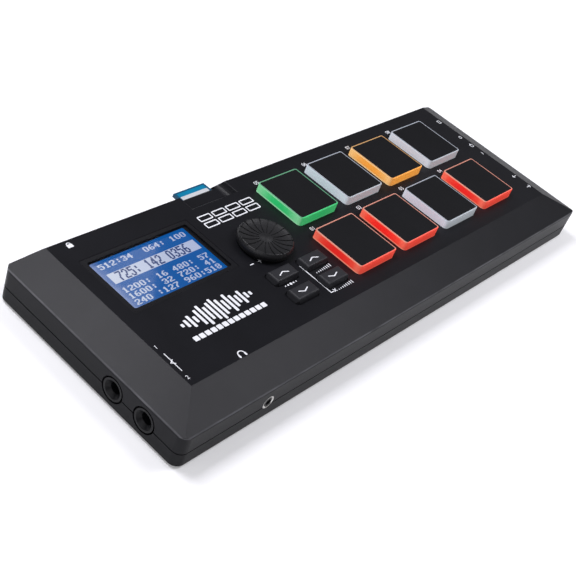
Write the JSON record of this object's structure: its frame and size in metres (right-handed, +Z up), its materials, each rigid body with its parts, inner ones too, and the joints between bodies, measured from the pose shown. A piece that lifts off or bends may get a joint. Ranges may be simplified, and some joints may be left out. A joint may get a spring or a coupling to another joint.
{
  "type": "portable sample player",
  "caption": "Low desktop sample player with sloping edges, lit drum pads, a blue display, a grooved data knob, keys, audio sockets and a memory card in a finger scoop.",
  "frame": {"origin": "under the middle of the object's box, on the surface that its feet stand on", "axes": "+X to the player's right along the case, +Y away from the player, +Z up"},
  "size_m": [0.368, 0.1336, 0.0337],
  "materials": {
    "shell": "black fine-textured moulding",
    "base_shell": "black fine-textured moulding",
    "lens": "clear polished window",
    "display": "lit blue display",
    "display_carrier": "white moulded tray",
    "board": "green circuit board",
    "chip": "black chip package",
    "header": "black pin header",
    "pad_red": "translucent silicone lit red",
    "pad_white": "translucent silicone, unlit white",
    "pad_green": "translucent silicone lit green",
    "pad_orange": "translucent silicone lit orange",
    "pad_face": "matt black rubber",
    "sensor": "film sensor",
    "lamp": "small lamp",
    "knob": "satin black",
    "steel": "plain steel",
    "key": "satin black",
    "switch": "moulded switch body",
    "socket_black": "black socket moulding",
    "ring": "bright plated ring",
    "card": "blue card shell",
    "foot": "black rubber"
  },
  "bodies": {
    "case": {"top_shell": "shell", "bottom_shell": "base_shell", "display_lens": "lens", "display_glass": "display", "display_frame": "display_carrier", "main_board": "board", "chips": "chip", "headphone_board": "board", "board_link": "header", "pad_sensors": "sensor", "pad_lights": "lamp", "encoder_body": "steel", "key_switches": "switch", "output_jack_left": "socket_black", "output_jack_right": "socket_black", "headphone_jack": "socket_black", "headphone_ring": "ring", "usb_socket": "steel", "midi_in_jack": "socket_black", "midi_out_jack": "socket_black", "power_switch": "steel", "card_socket": "steel", "lock_plate": "steel", "feet": "foot", "case_screws": "steel", "headphone_screws": "steel"},
    "pad_1_body": {"pad_1": "pad_red", "pad_face_1": "pad_face"},
    "pad_2_body": {"pad_2": "pad_red", "pad_face_2": "pad_face"},
    "pad_3_body": {"pad_3": "pad_white", "pad_face_3": "pad_face"},
    "pad_4_body": {"pad_4": "pad_red", "pad_face_4": "pad_face"},
    "pad_5_body": {"pad_5": "pad_green", "pad_face_5": "pad_face"},
    "pad_6_body": {"pad_6": "pad_white", "pad_face_6": "pad_face"},
    "pad_7_body": {"pad_7": "pad_orange", "pad_face_7": "pad_face"},
    "pad_8_body": {"pad_8": "pad_white", "pad_face_8": "pad_face"},
    "select_up_body": {"select_up_key": "key", "select_up_plunger": "switch"},
    "select_down_body": {"select_down_key": "key", "select_down_plunger": "switch"},
    "volume_up_body": {"volume_up_key": "key", "volume_up_plunger": "switch"},
    "volume_down_body": {"volume_down_key": "key", "volume_down_plunger": "switch"},
    "data_knob_body": {"data_knob": "knob", "encoder_shaft": "steel"},
    "power_slider_body": {"power_slider": "key"},
    "memory_card_body": {"memory_card": "card"}
  },
  "joints": [
    {"name": "pad_1_press", "type": "slide", "parent": "case", "child": "pad_1_body", "axis": [0, 0, -1], "range_m": [0, 0.001], "stiffness_N_per_m": 3000, "springref_m": -0.0005},
    {"name": "pad_2_press", "type": "slide", "parent": "case", "child": "pad_2_body", "axis": [0, 0, -1], "range_m": [0, 0.001], "stiffness_N_per_m": 3000, "springref_m": -0.0005},
    {"name": "pad_3_press", "type": "slide", "parent": "case", "child": "pad_3_body", "axis": [0, 0, -1], "range_m": [0, 0.001], "stiffness_N_per_m": 3000, "springref_m": -0.0005},
    {"name": "pad_4_press", "type": "slide", "parent": "case", "child": "pad_4_body", "axis": [0, 0, -1], "range_m": [0, 0.001], "stiffness_N_per_m": 3000, "springref_m": -0.0005},
    {"name": "pad_5_press", "type": "slide", "parent": "case", "child": "pad_5_body", "axis": [0, 0, -1], "range_m": [0, 0.001], "stiffness_N_per_m": 3000, "springref_m": -0.0005},
    {"name": "pad_6_press", "type": "slide", "parent": "case", "child": "pad_6_body", "axis": [0, 0, -1], "range_m": [0, 0.001], "stiffness_N_per_m": 3000, "springref_m": -0.0005},
    {"name": "pad_7_press", "type": "slide", "parent": "case", "child": "pad_7_body", "axis": [0, 0, -1], "range_m": [0, 0.001], "stiffness_N_per_m": 3000, "springref_m": -0.0005},
    {"name": "pad_8_press", "type": "slide", "parent": "case", "child": "pad_8_body", "axis": [0, 0, -1], "range_m": [0, 0.001], "stiffness_N_per_m": 3000, "springref_m": -0.0005},
    {"name": "select_up_press", "type": "slide", "parent": "case", "child": "select_up_body", "axis": [0, 0, -1], "range_m": [0, 0.0006], "stiffness_N_per_m": 2500, "springref_m": -0.0005},
    {"name": "select_down_press", "type": "slide", "parent": "case", "child": "select_down_body", "axis": [0, 0, -1], "range_m": [0, 0.0006], "stiffness_N_per_m": 2500, "springref_m": -0.0005},
    {"name": "volume_up_press", "type": "slide", "parent": "case", "child": "volume_up_body", "axis": [0, 0, -1], "range_m": [0, 0.0006], "stiffness_N_per_m": 2500, "springref_m": -0.0005},
    {"name": "volume_down_press", "type": "slide", "parent": "case", "child": "volume_down_body", "axis": [0, 0, -1], "range_m": [0, 0.0006], "stiffness_N_per_m": 2500, "springref_m": -0.0005},
    {"name": "data_knob_turn", "type": "hinge", "parent": "case", "child": "data_knob_body", "pos_m": [-0.0576, 0.0065, 0.0275], "axis": [0, 0, 1], "continuous": true},
    {"name": "power_slide", "type": "slide", "parent": "case", "child": "power_slider_body", "axis": [0, -1, 0], "range_m": [0, 0.004]},
    {"name": "card_pull", "type": "slide", "parent": "case", "child": "memory_card_body", "axis": [0, 1, 0], "range_m": [0, 0.026]}
  ]
}
